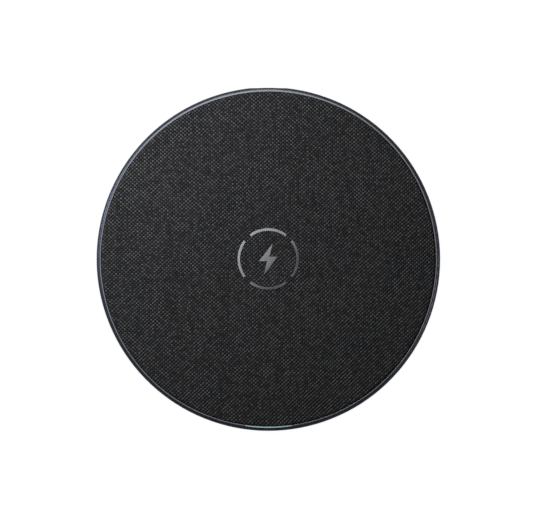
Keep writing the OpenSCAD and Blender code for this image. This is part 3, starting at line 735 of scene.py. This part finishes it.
def make_mark(finish_of):
    """The printed film: four arcs of a ring, and a bolt between two edge lines of three stretches
    each. A film's edges wander along the threads by a sine of the other thread count, and its
    top dips between the crowns by a cosine of both."""
    def film(across):
        """One closed film over a grid of flat places, whose first and last columns are edges."""
        threads = to_threads(across.reshape(-1, 2)).reshape(across.shape)
        weave = np.cos(2 * math.pi * threads).sum(-1) / 2
        wander = MARK_WANDER * np.sin(math.pi * threads[..., ::-1])
        border = np.zeros(across.shape[:2], bool)
        border[:, [0, -1]] = True
        across = across + wander * border[..., None]
        return slab(across, mark_high.z - MARK_DIP * (1 - weave),
                    np.full(across.shape[:2], mark_low.z))

    shapes = []
    arc_steps, line_steps = 110, 8
    middle_r = (MARK_D - MARK_LINE) / 2
    half_gap = 1.5 * MARK_LINE / middle_r
    arc = np.linspace(half_gap - math.pi / 4, math.pi / 4 - half_gap, arc_steps)
    radii = np.linspace(middle_r + MARK_LINE / 2, middle_r - MARK_LINE / 2, line_steps)
    for quarter in range(4):
        turn, r = np.meshgrid(quarter * math.pi / 2 + arc, radii, indexing="ij")
        shapes.append(film(np.stack([r * np.cos(turn), r * np.sin(turn)], -1)))
    bolt_steps, bolt_columns = 82, 16
    step_start, step_end = 0.42, 0.58
    along = np.linspace(0, 1, bolt_steps)[1:-1]
    bend = np.interp(along, [0, step_start, step_end, 1], [0, 1, 2, 3])
    left, right = (np.stack([np.interp(bend, range(4), line[:, axis]) for axis in (0, 1)], -1)
                   for line in (BOLT_LEFT, BOLT_RIGHT))
    share = np.linspace(0, 1, bolt_columns)[None, :, None]
    shapes.append(film(left[:, None] * (1 - share) + right[:, None] * share))
    points, faces = merged(shapes)
    made = piece_from("mark_film", points, faces, finish_of, to_threads(points[:, :2]))
    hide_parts("printed_mark")
    return made


def closed_tube(rings, around):
    """Faces of a tube whose points are rings after each other, and last a point for each end:
    walls of two triangles between neighbours, and a fan at each end."""
    ids = np.arange(rings * around).reshape(rings, around)
    beside = np.roll(ids, -1, 1)
    walls = np.stack([ids[:-1], beside[:-1], beside[1:], ids[1:]], -1).reshape(-1, 4)
    return np.concatenate([walls[:, [0, 1, 2]], walls[:, [0, 2, 3]],
                           np.stack([beside[0], ids[0], np.full(around, ids.size)], 1),
                           np.stack([ids[-1], beside[-1], np.full(around, ids.size + 1)], 1)])


def signed_power(value, exponent):
    """A power that keeps the sign of its base."""
    return np.sign(value) * np.abs(value) ** exponent


def rounded_block(square, soft, turns=96, rises=24):
    """A block from -1 to 1 on each axis: powers of cosine and sine, where a small power makes
    flat faces. square is the power of its outline and soft the power of its upright section.
    Gives points and faces."""
    turn = np.linspace(0, 2 * math.pi, turns, endpoint=False)
    rise = np.linspace(-math.pi / 2, math.pi / 2, rises + 1)[1:-1]
    wide = signed_power(np.cos(rise), soft)[:, None]
    x = wide * signed_power(np.cos(turn), square)
    y = wide * signed_power(np.sin(turn), square)
    z = signed_power(np.sin(rise), soft)[:, None] + 0 * x
    points = np.concatenate([np.stack([x, y, z], -1).reshape(-1, 3), [[0, 0, -1], [0, 0, 1]]])
    return points, closed_tube(rises - 1, turns)


def make_pad(name, node, finish_of):
    """A soft block that fills its node's box, with round edges and slightly bulging sides."""
    low, high = (np.array(corner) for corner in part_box(node))
    points, faces = rounded_block(square=0.08, soft=0.22)
    made = piece_from(name, (low + high) / 2 + points * (high - low) / 2, faces, finish_of)
    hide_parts(node)


def make_foam_ring(finish_of):
    """The foam tape on the coil: a flat section with round corners, carried round the coil's axis
    from one straight side of the leads' channel to the other. Next to its two cut ends the section
    shrinks on all sides along a quarter circle."""
    low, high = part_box("coil_foam_tape")
    outer = max(high.y, -low.y)
    inner = outer - FOAM_RING_W
    soft = 0.2 * MM
    sides = 32
    steps = 240
    quarter = np.linspace(0, math.pi / 2, 7)
    edge = soft * (1 - np.cos(quarter))
    inset = soft * (1 - np.sin(quarter))
    length = 2 * math.pi * (outer + inner) / 2
    plain = np.linspace(soft, length - soft, steps)[1:-1]
    along = np.concatenate([edge, plain, length - edge[::-1]]) / length
    inset = np.concatenate([inset, np.zeros(steps - 2), inset[::-1]])[:, None]
    around = np.linspace(0, 2 * math.pi, sides, endpoint=False) + math.pi / sides
    side, rise = np.cos(around), np.sin(around)
    radius = (outer + inner) / 2 + np.sign(side) * ((outer - inner) / 2 - soft) \
        + (soft - inset) * side
    height = (low.z + high.z) / 2 + np.sign(rise) * ((high.z - low.z) / 2 - soft) \
        + (soft - inset) * rise
    first = np.arcsin(FOAM_CHANNEL[1] / radius)
    last = 2 * math.pi + np.arcsin(FOAM_CHANNEL[0] / radius)
    turn = first + (last - first) * along[:, None]
    points = np.stack([radius * np.sin(turn), radius * np.cos(turn), height], -1)
    poles = np.stack([points[0].mean(0), points[-1].mean(0)])
    made = piece_from("foam_ring", np.concatenate([points.reshape(-1, 3), poles]),
                      closed_tube(*radius.shape), finish_of)
    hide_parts("coil_foam_tape")


# ---- the pad ----

make_camera()
make_floor(floor_finish())

foam = foam_finish()
cloth, cloth_reach = make_cloth(woven_finish())
mark = make_mark(print_finish())
2 * cloth_reach
2 * cloth_reach
math.pi * cloth_reach ** 2
make_pad("support_foam_block", "support_foam", foam)
heat_pad_skin = moulded_finish("heat_pad_silicone", (0.20, 0.27, 0.36), (0.30, 0.38, 0.47),
                               0.25 * MM, 0.7)
make_pad("heat_pad", "thermal_pad", heat_pad_skin)
make_foam_ring(foam)

glue = glue_finish()
board = board_finish()
FINISHES = {
    "bezel_ring": bezel_finish(),
    "light_guide": guide_finish(),
    "top_plate": moulded_finish("plate_plastic", (0.030, 0.031, 0.033), (0.050, 0.051, 0.054),
                                0.2 * MM),
    "bottom_cover": moulded_finish("cover_plastic", (0.016, 0.0165, 0.018), (0.026, 0.0265, 0.028),
                                   0.18 * MM, 0.5),
    "foot_ring": silicone_finish(),
    "fabric_glue_film": glue,
    "coil_glue_film": glue,
    "foot_glue_ring": glue,
    "transmitter_coil": litz_finish(),
    "ferrite_shield": ferrite_finish(),
    "temperature_sensor": sensor_finish(),
    "main_board": board,
    "indicator_board": board,
    "socket_shell": steel_finish("socket_nickel", (0.46, 0.45, 0.43), (0.62, 0.61, 0.58),
                                 (1, 0.06, 1)),
    "socket_tongue": moulded_finish("socket_plastic", (0.012, 0.012, 0.013), (0.022, 0.022, 0.023),
                                    0.08 * MM, 0.4),
    "socket_contacts": steel_finish("contact_gold", (0.66, 0.43, 0.13), (0.88, 0.62, 0.22),
                                    (1, 0.1, 1), 0.16),
    "controller_chip": chip_finish("controller_epoxy", "controller_chip"),
    "power_chip": chip_finish("power_chip_epoxy", "power_chip"),
    "switching_transistors": chip_finish("transistor_epoxy", "switching_transistors"),
    "power_inductor": inductor_finish(),
    "resonance_capacitors": ceramic_finish("resonance_ceramic", (0.34, 0.20, 0.09),
                                           (0.48, 0.31, 0.16), "resonance_capacitors"),
    "filter_capacitors": ceramic_finish("filter_ceramic", (0.38, 0.25, 0.13), (0.52, 0.36, 0.2),
                                        "filter_capacitors"),
    "chip_resistors": ceramic_finish("resistor_film", (0.012, 0.013, 0.015), (0.03, 0.03, 0.034),
                                     "chip_resistors"),
    "clock_crystal": steel_finish("crystal_can", (0.58, 0.58, 0.56), (0.74, 0.74, 0.72),
                                  (0.1, 1, 1)),
    "indicator_leds": led_finish(),
    "indicator_ribbon": ribbon_finish(),
    "case_screws": steel_finish("screw_steel", (0.42, 0.42, 0.43), (0.60, 0.60, 0.61), (1, 1, 0.2)),
}
for node, material in FINISHES.items():
    nodes[node].material_slots[0].material = material

make_studio()
